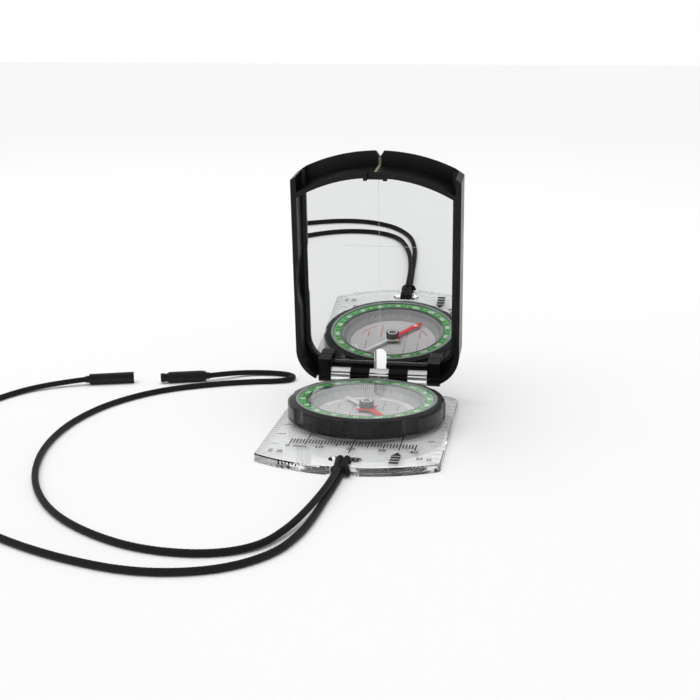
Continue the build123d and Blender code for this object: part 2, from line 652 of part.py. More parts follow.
# ---------------------------------------------------------------- write the parts
PARTS = {
    "base_plate": base_plate, "hinge_pin": hinge_pin,
    "lid_shell": lid_shell, "lid_wall_left": lid_wall_left, "lid_wall_right": lid_wall_right,
    "mirror": mirror, "mirror_tape": mirror_tape,
    "sight_line": sight_line,
    "bezel_ring": bezel_ring, "capsule_body": capsule_body, "retaining_ring": retaining_ring,
    "scale_ring": scale_ring, "graduation_ring": graduation_ring, "trim_ring": trim_ring,
    "dial_window": dial_window, "orienting_disc": orienting_disc,
    "pivot_base": pivot_base, "pivot_pin": pivot_pin,
    "north_arm": north_arm, "south_arm": south_arm, "needle_magnet": needle_magnet,
    "needle_hub": needle_hub, "jewel_bearing": jewel_bearing,
    "lanyard_hitch": lanyard_hitch,
    "plug_relief": plug_relief, "plug_body": plug_body, "plug_tip": plug_tip,
    "socket_relief": socket_relief, "socket_body": socket_body,
}


def main():
    os.makedirs("parts", exist_ok=True)
    shapes = {name: make() for name, make in PARTS.items()}
    shapes["cord_strand_a"] = cord("cord_strand_a", ROUTE_A)
    shapes["cord_strand_b"] = cord("cord_strand_b", ROUTE_B)
    for name, shape in shapes.items():
        export_step(Pos(0, DIAL_Y, 0) * shape, f"parts/{name}.step")
    print("hinge axis y", round(HINGE_Y + DIAL_Y, 3), "z", HINGE_Z)
    print("rim y", round(RIM_Y + DIAL_Y, 3), "hinge up the lid", round(HINGE_UP, 3))


main()
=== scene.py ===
import json
import math

import bmesh
import bpy
from mathutils import Matrix, Vector


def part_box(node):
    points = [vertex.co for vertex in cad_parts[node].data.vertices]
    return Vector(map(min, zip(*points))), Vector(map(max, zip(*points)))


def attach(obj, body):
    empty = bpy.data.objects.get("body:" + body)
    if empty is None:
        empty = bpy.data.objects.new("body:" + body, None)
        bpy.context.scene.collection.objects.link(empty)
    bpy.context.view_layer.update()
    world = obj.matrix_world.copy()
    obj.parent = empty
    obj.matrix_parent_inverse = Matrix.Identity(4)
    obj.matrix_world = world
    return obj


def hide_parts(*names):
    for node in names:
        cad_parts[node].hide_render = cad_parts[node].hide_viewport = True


# Sighting compass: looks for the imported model. Lengths are named in millimetres and turned
# into metres by MM, in the frame of the CAD model.
MM = 0.001

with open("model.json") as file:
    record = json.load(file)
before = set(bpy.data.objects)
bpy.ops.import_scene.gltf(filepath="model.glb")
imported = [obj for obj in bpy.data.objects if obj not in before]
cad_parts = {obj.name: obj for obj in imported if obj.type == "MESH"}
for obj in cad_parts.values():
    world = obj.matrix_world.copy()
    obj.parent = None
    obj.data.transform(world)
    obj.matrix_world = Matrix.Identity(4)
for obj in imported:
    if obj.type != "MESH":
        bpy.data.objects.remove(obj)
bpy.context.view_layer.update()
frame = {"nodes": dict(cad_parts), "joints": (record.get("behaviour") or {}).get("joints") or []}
nodes = frame["nodes"]
joints = {joint["name"]: joint for joint in frame["joints"]}

# ---------------------------------------------------------------- places read from the frame
DIAL = Vector(joints["dial_turn"]["pos_m"])          # dial axis
HINGE = Vector(joints["lid_hinge"]["pos_m"])         # hinge axis
LEAN = math.radians(90 + joints["lid_hinge"]["range_deg"][0])
LID_UP = Vector((0, -math.sin(LEAN), math.cos(LEAN)))
LID_BACK = Vector((0, math.cos(LEAN), math.sin(LEAN)))
HINGE_UP, HINGE_DEPTH = 8.1 * MM, 6.1 * MM           # hinge axis up the lid and behind its rim
LID_ORIGIN = HINGE - LID_UP * HINGE_UP - LID_BACK * HINGE_DEPTH
PLATE_TOP = 2.6 * MM
MIRROR_FACE = 8.9                                    # depth of the mirror behind the lid's rim
RING_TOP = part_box("graduation_ring")[1][2]
DISC_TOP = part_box("orienting_disc")[1][2]
INK = 0.012 * MM                                     # thickness of printed marks


# ---------------------------------------------------------------- material helpers
def principled(name, colour, roughness=0.5, metallic=0.0):
    """New material and its shader."""
    material = bpy.data.materials.new(name)
    material.use_nodes = True
    shader = material.node_tree.nodes["Principled BSDF"]
    shader.inputs["Base Color"].default_value = (*colour, 1)
    shader.inputs["Roughness"].default_value = roughness
    shader.inputs["Metallic"].default_value = metallic
    return material, shader


def noise(material, scale, detail=3.0, stretch=(1, 1, 1)):
    """Noise over the surface, with scale in features per metre."""
    tree = material.node_tree
    place = tree.nodes.new("ShaderNodeTexCoord")
    spread = tree.nodes.new("ShaderNodeMapping")
    spread.inputs["Scale"].default_value = stretch
    texture = tree.nodes.new("ShaderNodeTexNoise")
    texture.inputs["Scale"].default_value = scale
    texture.inputs["Detail"].default_value = detail
    tree.links.new(place.outputs["Object"], spread.inputs["Vector"])
    tree.links.new(spread.outputs["Vector"], texture.inputs["Vector"])
    return texture.outputs["Fac"]


def drive(material, source, socket, low, high):
    """Map a 0.3 to 0.7 noise to a value range on a shader socket."""
    tree = material.node_tree
    span = tree.nodes.new("ShaderNodeMapRange")
    span.inputs["From Min"].default_value = 0.3
    span.inputs["From Max"].default_value = 0.7
    span.inputs["To Min"].default_value = low
    span.inputs["To Max"].default_value = high
    tree.links.new(source, span.inputs["Value"])
    tree.links.new(span.outputs["Result"], socket)


def tint(material, source, shader, first, second):
    """Colour that wanders between two tones."""
    tree = material.node_tree
    ramp = tree.nodes.new("ShaderNodeValToRGB")
    ramp.color_ramp.elements[0].position = 0.35
    ramp.color_ramp.elements[0].color = (*first, 1)
    ramp.color_ramp.elements[1].position = 0.65
    ramp.color_ramp.elements[1].color = (*second, 1)
    tree.links.new(source, ramp.inputs["Fac"])
    tree.links.new(ramp.outputs["Color"], shader.inputs["Base Color"])


def relief(material, source, shader, height, edge=0.0):
    """Bump of the given height in metres, over edges rounded by edge metres."""
    tree = material.node_tree
    bump = tree.nodes.new("ShaderNodeBump")
    bump.inputs["Distance"].default_value = height
    tree.links.new(source, bump.inputs["Height"])
    if edge > 0:
        bevel = tree.nodes.new("ShaderNodeBevel")
        bevel.samples = 6
        bevel.inputs["Radius"].default_value = edge
        tree.links.new(bevel.outputs["Normal"], bump.inputs["Normal"])
    tree.links.new(bump.outputs["Normal"], shader.inputs["Normal"])


def plastic(name, dark, light, rough, grain, height, edge=0.0, gloss=0.5):
    """Moulded plastic: two close tones, uneven gloss and a fine grain."""
    material, shader = principled(name, light)
    shader.inputs["Specular IOR Level"].default_value = gloss
    broad = noise(material, 120, 3)
    fine = noise(material, grain, 2)
    tint(material, broad, shader, dark, light)
    drive(material, broad, shader.inputs["Roughness"], rough[0], rough[1])
    relief(material, fine, shader, height, edge)
    return material


def clear(name, colour, shade, rough=(0.01, 0.04), index=1.49):
    """Clear plastic that lets lamps through, so that it doesn't cast a black shadow."""
    material, shader = principled(name, colour)
    shader.inputs["Transmission Weight"].default_value = 1.0
    shader.inputs["IOR"].default_value = index
    drive(material, noise(material, 260, 2), shader.inputs["Roughness"], rough[0], rough[1])
    tree = material.node_tree
    rays = tree.nodes.new("ShaderNodeLightPath")
    open_shader = tree.nodes.new("ShaderNodeBsdfTransparent")
    open_shader.inputs["Color"].default_value = (*shade, 1)
    mix = tree.nodes.new("ShaderNodeMixShader")
    tree.links.new(rays.outputs["Is Shadow Ray"], mix.inputs["Fac"])
    tree.links.new(shader.outputs["BSDF"], mix.inputs[1])
    tree.links.new(open_shader.outputs["BSDF"], mix.inputs[2])
    tree.links.new(mix.outputs["Shader"], tree.nodes["Material Output"].inputs["Surface"])
    return material


def metal(name, colour, rough, stretch=(1, 1, 1)):
    """Metal with fine drawn streaks along the axis that stretch makes small."""
    material, shader = principled(name, colour, metallic=1.0)
    streaks = noise(material, 6000, 2, stretch)
    drive(material, streaks, shader.inputs["Roughness"], rough[0], rough[1])
    relief(material, streaks, shader, 0.004 * MM)
    return material


def woven_cord():
    """Black braid: fine diagonal yarns over the modelled braid."""
    material, shader = principled("woven_cord", (0.012, 0.012, 0.013), 0.7)
    tree = material.node_tree
    place = tree.nodes.new("ShaderNodeUVMap")
    turn = tree.nodes.new("ShaderNodeMapping")
    turn.inputs["Rotation"].default_value = (0, 0, math.radians(45))
    yarn = tree.nodes.new("ShaderNodeTexWave")
    yarn.inputs["Scale"].default_value = 1.6
    yarn.inputs["Distortion"].default_value = 1.2
    tree.links.new(place.outputs["UV"], turn.inputs["Vector"])
    tree.links.new(turn.outputs["Vector"], yarn.inputs["Vector"])
    tint(material, yarn.outputs["Fac"], shader, (0.006, 0.006, 0.0065), (0.014, 0.014, 0.0145))
    relief(material, yarn.outputs["Fac"], shader, 0.02 * MM)
    shader.inputs["Specular IOR Level"].default_value = 0.2
    shader.inputs["Sheen Weight"].default_value = 0.06
    shader.inputs["Sheen Roughness"].default_value = 0.4
    return material


def ink(name, colour, rough=0.6):
    """Printed ink with slightly uneven cover."""
    material, shader = principled(name, colour, rough)
    worn = tuple(min(1.0, value * 1.25 + 0.01) for value in colour)
    tint(material, noise(material, 1800, 3), shader, colour, worn)
    return material


def mirror_glass():
    material, shader = principled("mirror_glass", (0.80, 0.81, 0.81), 0.0, 1.0)
    drive(material, noise(material, 60, 2), shader.inputs["Roughness"], 0.0, 0.006)
    return material


def printed_film():
    """Pale film on the capsule floor, partly see-through."""
    material, shader = principled("printed_film", (0.78, 0.75, 0.76), 0.45)
    tint(material, noise(material, 300, 3), shader, (0.76, 0.73, 0.74), (0.82, 0.79, 0.80))
    tree = material.node_tree
    open_shader = tree.nodes.new("ShaderNodeBsdfTransparent")
    mix = tree.nodes.new("ShaderNodeMixShader")
    mix.inputs["Fac"].default_value = 0.35
    tree.links.new(shader.outputs["BSDF"], mix.inputs[1])
    tree.links.new(open_shader.outputs["BSDF"], mix.inputs[2])
    tree.links.new(mix.outputs["Shader"], tree.nodes["Material Output"].inputs["Surface"])
    return material


def floor_paper():
    material, shader = principled("floor_paper", (0.96, 0.96, 0.96), 0.9)
    tint(material, noise(material, 3, 2), shader, (0.955, 0.955, 0.955), (0.965, 0.965, 0.965))
    shader.inputs["Specular IOR Level"].default_value = 0.0
    return material


# ---------------------------------------------------------------- mesh helpers
def piece(name, mesh, body, material, smooth=False):
    """Turn a bmesh into a named piece that rides on a body."""
    bmesh.ops.recalc_face_normals(mesh, faces=mesh.faces)
    data = bpy.data.meshes.new(name)
    mesh.to_mesh(data)
    mesh.free()
    data.materials.append(material)
    for face in data.polygons:
        face.use_smooth = smooth
    thing = bpy.data.objects.new(name, data)
    bpy.context.scene.collection.objects.link(thing)
    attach(thing, body)
    return thing


def stroke(mesh, start, end, width, up, thick=INK):
    """Flat bar from start to end, standing thick above the surface whose normal is up."""
    side = (end - start).cross(up).normalized() * width / 2
    rise = up.normalized() * thick
    foot = [start - side, start + side, end + side, end - side]
    low = [mesh.verts.new(corner) for corner in foot]
    high = [mesh.verts.new(corner + rise) for corner in foot]
    mesh.faces.new(low[::-1])
    mesh.faces.new(high)
    for index in range(4):
        after = (index + 1) % 4
        mesh.faces.new((low[index], low[after], high[after], high[index]))


def arc_band(mesh, radius, width, start, end, place, thick=INK, steps=48):
    """Flat printed arc round the Z axis of place, between two angles in degrees."""
    rows = []
    for index in range(steps + 1):
        angle = math.radians(start + (end - start) * index / steps)
        out = Vector((math.cos(angle), math.sin(angle), 0))
        inner, outer = out * (radius - width / 2), out * (radius + width / 2)
        lift = Vector((0, 0, thick))
        rows.append([mesh.verts.new(place @ point)
                     for point in (inner, outer, outer + lift, inner + lift)])
    for row, after in zip(rows, rows[1:]):
        for index in range(4):
            other = (index + 1) % 4
            mesh.faces.new((row[index], row[other], after[other], after[index]))
    mesh.faces.new(rows[0][::-1])
    mesh.faces.new(rows[-1])


def label(mesh, words, size, place, thick=INK):
    """Printed characters, centred on place, whose X is along the line and Y is up."""
    font = bpy.data.curves.new("label", "FONT")
    font.body = words
    font.size = size
    font.align_x = "CENTER"
    font.align_y = "CENTER"
    font.extrude = thick / 2
    font.offset = size * 0.022
    font.resolution_u = 3
    holder = bpy.data.objects.new("label", font)
    data = bpy.data.meshes.new_from_object(holder)
    data.transform(place @ Matrix.Translation((0, 0, thick / 2)))
    mesh.from_mesh(data)
    bpy.data.objects.remove(holder)
    bpy.data.meshes.remove(data)
    bpy.data.curves.remove(font)


def flat_place(x, y, level, turn=0.0):
    """Place on a level surface, from the dial axis, in millimetres and degrees."""
    return (Matrix.Translation((DIAL.x + x * MM, DIAL.y + y * MM, level))
            @ Matrix.Rotation(math.radians(turn), 4, "Z"))


def lid_place(x, up, depth):
    """Place in lid axes: X across, Y up the lid, Z out of the mirror, in millimetres."""
    spot = LID_ORIGIN + LID_UP * up * MM + LID_BACK * depth * MM + Vector((x * MM, 0, 0))
    turn = Matrix((Vector((1, 0, 0)), LID_UP, -LID_BACK)).transposed()
    return Matrix.Translation(spot) @ turn.to_4x4()


# ---------------------------------------------------------------- camera, floor and lights
def add_camera():
    eye = Vector((59.304 * MM, DIAL.y - 391.281 * MM, 127.105 * MM))
    yaw, pitch, roll = -0.1647, 0.2495, 0.002
    level = math.cos(pitch)
    forward = Vector((math.sin(yaw) * level, math.cos(yaw) * level, -math.sin(pitch)))
    data = bpy.data.cameras.new("camera")
    data.sensor_width = 36
    data.lens = 62.86
    camera = bpy.data.objects.new("camera", data)
    turn = forward.to_track_quat("-Z", "Y").to_matrix() @ Matrix.Rotation(roll, 3, "Z")
    camera.matrix_world = Matrix.Translation(eye) @ turn.to_4x4()
    bpy.context.scene.collection.objects.link(camera)
    bpy.context.scene.camera = camera


def add_floor():
    mesh = bmesh.new()
    bmesh.ops.create_grid(mesh, x_segments=1, y_segments=1, size=6)
    data = bpy.data.meshes.new("floor")
    mesh.to_mesh(data)
    mesh.free()
    data.materials.append(floor_paper())
    floor = bpy.data.objects.new("floor", data)
    floor.location = (0, 0, -0.03 * MM)
    bpy.context.scene.collection.objects.link(floor)


def add_lamp(name, place, target, size, power):
    data = bpy.data.lights.new(name, "AREA")
    data.shape = "DISK"
    data.size = size
    data.energy = power
    lamp = bpy.data.objects.new(name, data)
    lamp.location = place
    lamp.rotation_euler = (Vector(target) - Vector(place)).to_track_quat("-Z", "Y").to_euler()
    bpy.context.scene.collection.objects.link(lamp)


def set_light_paths():
    """Enough bounces for light to leave the clear plastics."""
    cycles = bpy.context.scene.cycles
    cycles.max_bounces = 20
    cycles.transmission_bounces = 16
    cycles.glossy_bounces = 14
    cycles.transparent_max_bounces = 24


def add_overhead():
    """Very broad, soft light from above."""
    data = bpy.data.lights.new("overhead", "SUN")
    data.angle = math.radians(80)
    data.energy = 1.75
    lamp = bpy.data.objects.new("overhead", data)
    lamp.rotation_euler = (math.radians(8), math.radians(-10), 0)
    lamp.visible_glossy = False
    bpy.context.scene.collection.objects.link(lamp)


def add_light():
    """White band round the horizon, a dimmer sky above it, and two lamps."""
    world = bpy.data.worlds.new("studio")
    world.use_nodes = True
    tree = world.node_tree
    sky = tree.nodes["Background"]
    sky.inputs["Color"].default_value = (1, 1, 1, 1)
    place = tree.nodes.new("ShaderNodeTexCoord")
    split = tree.nodes.new("ShaderNodeSeparateXYZ")
    fall = tree.nodes.new("ShaderNodeMapRange")
    fall.inputs["From Min"].default_value = 0.08
    fall.inputs["From Max"].default_value = 0.22
    fall.inputs["To Min"].default_value = 1.0
    fall.inputs["To Max"].default_value = 0.42
    tree.links.new(place.outputs["Generated"], split.inputs["Vector"])
    tree.links.new(split.outputs["Z"], fall.inputs["Value"])
    tree.links.new(fall.outputs["Result"], sky.inputs["Strength"])
    bpy.context.scene.world = world
    bpy.context.scene.view_settings.view_transform = "Standard"
    add_overhead()
    add_lamp("key", (-0.25, 0.55, 0.75), (0, 0, 0), 0.35, 0.6)


# ---------------------------------------------------------------- lanyard
CORD_R = 1.0
CORD_Z = 1.02
PLUG_Z = 2.12
ROUTE_A = [
    (-0.6, -53.2, 3.12), (-0.7, -61.0, 3.12), (-1.3, -71.0, 3.12), (-2.9, -83.0, 2.7),
    (-6.0, -96.5, 1.8), (-11.2, -108.6, 1.2), (-23.0, -115.4, CORD_Z), (-40.5, -115.2, CORD_Z),
    (-57.4, -107.6, CORD_Z), (-73.0, -95.2, CORD_Z), (-85.4, -77.6, CORD_Z),
    (-93.6, -58.0, CORD_Z), (-98.2, -37.0, CORD_Z), (-98.6, -15.0, CORD_Z),
    (-93.4, 7.0, CORD_Z), (-81.0, 26.0, CORD_Z), (-63.0, 37.6, CORD_Z),
    (-49.5, 43.0, CORD_Z), (-41.6, 45.0, CORD_Z), (-36.6, 47.6, CORD_Z),
    (-36.0, 52.4, CORD_Z), (-40.0, 55.6, CORD_Z), (-48.0, 56.2, CORD_Z),
    (-56.0, 53.9, 1.3), (-61.8, 48.6, 2.0), (-67.4, 44.4, PLUG_Z),
]
ROUTE_B = [
    (0.1, -53.2, CORD_Z), (-0.1, -62.0, CORD_Z), (-0.8, -73.0, CORD_Z), (-1.3, -85.0, CORD_Z),
    (-2.6, -98.5, CORD_Z), (-6.6, -112.4, CORD_Z), (-18.0, -124.2, CORD_Z),
    (-36.6, -128.8, CORD_Z), (-57.4, -124.2, CORD_Z), (-78.0, -115.2, CORD_Z),
    (-98.6, -101.6, CORD_Z), (-117.0, -82.0, CORD_Z), (-130.0, -58.0, CORD_Z),
    (-137.6, -32.0, CORD_Z), (-138.6, -7.0, CORD_Z), (-133.4, 12.0, CORD_Z),
    (-124.0, 25.0, 1.4), (-112.2, 31.0, PLUG_Z),
]


def smooth_line(points, samples=24):
    """Points along the NURBS spline with these control points, in metres."""
    curve = bpy.data.curves.new("line", "CURVE")
    curve.dimensions = "3D"
    spline = curve.splines.new("NURBS")
    spline.points.add(len(points) - 1)
    for control, (x, y, z) in zip(spline.points, points):
        control.co = (DIAL.x + x * MM, DIAL.y + y * MM, z * MM, 1)
    spline.order_u = 3
    spline.use_endpoint_u = True
    curve.resolution_u = samples
    holder = bpy.data.objects.new("line", curve)
    data = bpy.data.meshes.new_from_object(holder)
    line = [vertex.co.copy() for vertex in data.vertices]
    bpy.data.objects.remove(holder)
    bpy.data.meshes.remove(data)
    bpy.data.curves.remove(curve)
    return line


def even_line(line, step):
    """The same line with its points a step apart."""
    run = [0.0]
    for before, after in zip(line, line[1:]):
        run.append(run[-1] + (after - before).length)
    count = max(2, round(run[-1] / step))
    points, index = [], 0
    for number in range(count + 1):
        reach = run[-1] * number / count
        while index < len(line) - 2 and run[index + 1] < reach:
            index += 1
        share = (reach - run[index]) / max(run[index + 1] - run[index], 1e-12)
        points.append(line[index].lerp(line[index + 1], share))
    return points


def braided_tube(mesh, line, radius, sides=24, step=0.22 * MM):
    """Round cord whose surface carries the diamonds of a braid."""
    points = even_line(line, step)
    uv_layer = mesh.loops.layers.uv.verify()
    deep, columns, pitch = 0.03 * MM, 6, 1.5 * MM
    side = Vector((0, 0, 1))
    rings = []
    for index, point in enumerate(points):
        ahead = points[min(index + 1, len(points) - 1)] - points[max(index - 1, 0)]
        ahead.normalize()
        side = (side - ahead * side.dot(ahead)).normalized()
        other = ahead.cross(side)
        size = min(radius, point.z - 0.02 * MM)
        reach = index * step
        ring = []
        for number in range(sides):
            angle = 2 * math.pi * number / sides
            twist = 2 * math.pi * reach / pitch
            yarns = math.sin((columns * angle + twist) / 2) * math.sin((columns * angle - twist) / 2)
            out = side * math.cos(angle) + other * math.sin(angle)
            ring.append(mesh.verts.new(point + out * (size - deep + deep * 2 * abs(yarns) ** 0.5)))
        rings.append(ring)
    for index, (ring, after) in enumerate(zip(rings, rings[1:])):
        for number in range(sides):
            nearby = (number + 1) % sides
            face = mesh.faces.new((ring[number], after[number], after[nearby], ring[nearby]))
            corners = ((number, index), (number, index + 1),
                       (number + 1, index + 1), (number + 1, index))
            for loop, (column, row) in zip(face.loops, corners):
                loop[uv_layer].uv = (column * 0.24, row * step / MM)
    mesh.faces.new(rings[0][::-1])
    mesh.faces.new(rings[-1])


def add_strand(name, route, node, material):
    mesh = bmesh.new()
    line = smooth_line(route)
    braided_tube(mesh, line, CORD_R * MM)
    strand = piece(name, mesh, "base", material, smooth=True)
    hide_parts(node)


def add_hitch(material):
    """Cow hitch: two turns over the plate bar and a bight across them in front."""
    mesh = bmesh.new()
    for side, low in ((-1, 3.12), (1, CORD_Z)):
        over = [
            (side * 1.1 - 0.3, -42.9, 0.9), (side * 1.1 - 0.4, -42.4, 2.3),
            (side * 1.1 - 0.4, -43.3, 3.25), (side * 1.08 - 0.4, -45.8, 3.08),
            (side * 1.05 - 0.4, -48.2, 3.08), (side * 1.0 - 0.3, -50.4, 2.9),
            (side * 0.9 - 0.25, -51.8, (low + 2.6) / 2), (side * 0.35 - 0.25, -53.3, low),
        ]
        braided_tube(mesh, smooth_line(over), 0.98 * MM)
    bight = [
        (-1.3, -46.0, 0.47), (-1.6, -49.2, 0.6), (-2.2, -51.0, 1.1), (-2.2, -52.0, 2.2),
        (-1.7, -52.1, 3.1), (-0.4, -51.9, 3.25), (0.8, -51.9, 3.25), (1.8, -52.1, 3.0),
        (2.3, -52.0, 2.1), (2.2, -51.0, 1.0), (1.6, -49.2, 0.6), (1.3, -46.0, 0.47),
    ]
    braided_tube(mesh, smooth_line(bight), 0.85 * MM)
    hitch = piece("cow_hitch", mesh, "base", material, smooth=True)
    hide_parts("lanyard_hitch")
    return hitch


def add_lanyard():
    material = woven_cord()
    hitch = add_hitch(material)
    add_strand("strand_to_plug", ROUTE_A, "cord_strand_a",
               material)
    add_strand("strand_to_socket", ROUTE_B, "cord_strand_b",
               material)


# ---------------------------------------------------------------- prints on the plate
def add_rule(material):
    """40 mm rule with three long lines that run on below the dial."""
    mesh = bmesh.new()
    up = Vector((0, 0, 1))
    dial_end = -25.8
    for step in range(41):
        x = step - 20
        long = 5.2 if step % 5 == 0 else 3.9
        foot = flat_place(x, dial_end - long, PLATE_TOP).translation
        stroke(mesh, flat_place(x, dial_end, PLATE_TOP).translation, foot, 0.42 * MM, up)
    for x, near, far in ((-15, -19.0, -31.0), (0, -20.0, -36.9), (15, -17.6, -32.1)):
        start = flat_place(x, near, PLATE_TOP + INK).translation
        stroke(mesh, start, flat_place(x, far, PLATE_TOP + INK).translation, 0.42 * MM, up)
    for number in range(5):
        words = str(10 * number)
        label(mesh, words, 2.9 * MM, flat_place(10 * number - 20 - 0.2, -32.9, PLATE_TOP))
    label(mesh, "mm", 2.9 * MM, flat_place(-16.2, -33.0, PLATE_TOP))
    piece("rule_marks", mesh, "base", material)


def add_side_scales(material):
    """Map scales along both sides, with numbers turned to be read from the side."""
    mesh = bmesh.new()
    up = Vector((0, 0, 1))
    edge, first, last, every = 28.4, -41.7, 24.0, 5
    for side, step in ((-1, 2.0), (1, 4.0)):
        count = int((last - first) / step) + 1
        for index in range(count):
            y = first + index * step
            long = 3.4 if index % every == 0 else 2.1
            start = flat_place(side * edge, y, PLATE_TOP).translation
            end = flat_place(side * (edge - long), y, PLATE_TOP).translation
            stroke(mesh, start, end, 0.2 * MM, up)
            if index % every == 0 and index > 0:
                words = str(index // every) if side < 0 else str(5 * index // every)
                label(mesh, words, 2.6 * MM, flat_place(side * 24.2, y, PLATE_TOP, -90 * side))
    ratios = ((-24.4, "1:50", 2.0), (-21.4, "50", 2.6), (22.2, "25", 2.6), (25.2, "1:25", 2.0))
    for x, words, size in ratios:
        turn = 90 if x < 0 else -90
        label(mesh, words, size * MM, flat_place(x, -38.6, PLATE_TOP, turn))
    piece("map_scale_marks", mesh, "base", material)


def add_arrow(material):
    """Plain travel arrow: a head and three blocks."""
    mesh = bmesh.new()
    x, head, tail = 14.9, -33.8, -45.2
    up = Vector((0, 0, 1))
    low = [flat_place(x - 1.7, head - 3.4, PLATE_TOP), flat_place(x + 1.7, head - 3.4, PLATE_TOP),
           flat_place(x, head, PLATE_TOP)]
    foot = [mesh.verts.new(place.translation) for place in low]
    top = [mesh.verts.new(place.translation + up * INK) for place in low]
    mesh.faces.new(foot[::-1])
    mesh.faces.new(top)
    for index in range(3):
        after = (index + 1) % 3
        mesh.faces.new((foot[index], foot[after], top[after], top[index]))
    block = (head - 4.1 - tail) / 3
    for index in range(3):
        start = head - 4.1 - index * block
        stroke(mesh, flat_place(x, start, PLATE_TOP).translation,
               flat_place(x, start - block + 0.8, PLATE_TOP).translation, 3.0 * MM, up)
    piece("travel_arrow", mesh, "base", material)


# ---------------------------------------------------------------- prints on the dial
NORTH = -91.0                 # degrees, where the dial's N stands
NEEDLE_TURN = -52.3           # degrees, where the red arm points


def polar(radius, angle, level):
    """Point from the dial axis, in millimetres and degrees."""
    turn = math.radians(angle)
    return Vector((DIAL.x + radius * MM * math.cos(turn), DIAL.y + radius * MM * math.sin(turn), level))


def add_degrees(material):
    """White ticks, numbers and N on the green ring."""
    mesh = bmesh.new()
    up = Vector((0, 0, 1))
    for degree in range(0, 360, 2):
        angle = NORTH - degree
        inner = 22.2 if degree % 10 else 21.9
        width = 0.17 if degree % 10 else 0.24
        stroke(mesh, polar(inner, angle, RING_TOP), polar(22.72, angle, RING_TOP), width * MM, up)
        if degree % 20 == 10:
            stroke(mesh, polar(20.6, angle, RING_TOP), polar(21.6, angle, RING_TOP), 0.22 * MM, up)
        if degree % 20 == 0:
            words = "N" if degree == 0 else str(degree)
            spot = polar(21.15, angle, RING_TOP)
            place = Matrix.Translation(spot) @ Matrix.Rotation(math.radians(angle - 90), 4, "Z")
            label(mesh, words, 2.05 * MM, place)
    piece("degree_marks", mesh, "dial", material)


def add_inner_ticks(material):
    """Dark ticks down the sloping ring inside the capsule."""
    mesh = bmesh.new()
    foot_r, top_r = 16.6, 19.05
    foot_z, top_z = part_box("scale_ring")[0][2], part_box("scale_ring")[1][2]
    slope = Vector(((top_r - foot_r) * MM, 0, top_z - foot_z)).normalized()
    for degree in range(0, 360, 2):
        turn = Matrix.Rotation(math.radians(degree), 3, "Z")
        low = 0.60 if degree % 10 else 0.42
        ends = []
        for share in (low, 0.97):
            radius = foot_r + (top_r - foot_r) * share
            ends.append(polar(radius, degree, foot_z + (top_z - foot_z) * share))
        inward = turn @ Vector((-slope.z, 0, slope.x))
        stroke(mesh, ends[0], ends[1], 0.16 * MM, inward, 0.02 * MM)
    piece("inner_tick_marks", mesh, "dial", material)


def add_floor_print(red, dark, white):
    """Dark north lines, red marks on the north half and white arcs on the capsule floor."""
    place = Matrix.Translation((DIAL.x, DIAL.y, DISC_TOP))
    up = Vector((0, 0, 1))
    rows, line_end = (-10.1, -5.05, 5.05, 10.1), 12.6
    mesh = bmesh.new()
    for x in rows:
        reach = math.sqrt(line_end ** 2 - x * x)
        stroke(mesh, flat_place(x, 1.0, DISC_TOP).translation,
               flat_place(x, reach, DISC_TOP).translation, 0.22 * MM, up)
    piece("north_lines", mesh, "dial", dark)
    mesh = bmesh.new()
    for x in rows:
        reach = math.sqrt(line_end ** 2 - x * x)
        stroke(mesh, flat_place(x, -2.0, DISC_TOP).translation,
               flat_place(x, -reach, DISC_TOP).translation, 0.3 * MM, up)
    for start, end in ((-160, -112), (-68, -20)):
        arc_band(mesh, 13.6 * MM, 0.3 * MM, start, end, place)
    piece("red_lines", mesh, "dial", red)
    mesh = bmesh.new()
    for radius in (14.7, 16.0):
        for start, end in ((18, 80), (100, 162)):
            arc_band(mesh, radius * MM, 0.55 * MM, start, end, place)
    piece("white_arcs", mesh, "dial", white)


def add_needle_spots(material):
    """Luminous spot near the tip of the red arm and a ring round the jewel."""
    mesh = bmesh.new()
    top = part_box("north_arm")[1][2]
    place = Matrix.Translation(polar(12.9, NEEDLE_TURN, top))
    arc_band(mesh, 0.32 * MM, 0.60 * MM, 0, 360, place, 0.05 * MM, 24)
    place = Matrix.Translation((DIAL.x, DIAL.y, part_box("needle_hub")[1][2]))
    arc_band(mesh, 1.68 * MM, 0.42 * MM, 0, 360, place, 0.04 * MM)
    piece("needle_spots", mesh, "needle", material)


# ---------------------------------------------------------------- marks on the mirror
def add_mirror_marks(line_material, lip_material):
    """Fine centre lines, and the bright foot edge on both sides of the slot."""
    mesh = bmesh.new()
    out = -LID_BACK
    hairlines = (((0, 19.0), (0, 82.0)), ((-13.0, 56.1), (-0.1, 56.1)), ((0.1, 56.1), (13.3, 56.1)))
    for (x, up), (far_x, far_up) in hairlines:
        start = lid_place(x, up, MIRROR_FACE).translation
        stroke(mesh, start, lid_place(far_x, far_up, MIRROR_FACE).translation, 0.09 * MM, out)
    piece("mirror_hairlines", mesh, "lid", line_material)
    mesh = bmesh.new()
    for x, far_x in ((-17.0, -2.3), (2.3, 17.6)):
        start = lid_place(x, 12.62, MIRROR_FACE).translation
        end = lid_place(far_x, 12.62, MIRROR_FACE).translation
        stroke(mesh, start, end, 0.4 * MM, out, 0.12 * MM)
    piece("mirror_edge_line", mesh, "lid", lip_material)


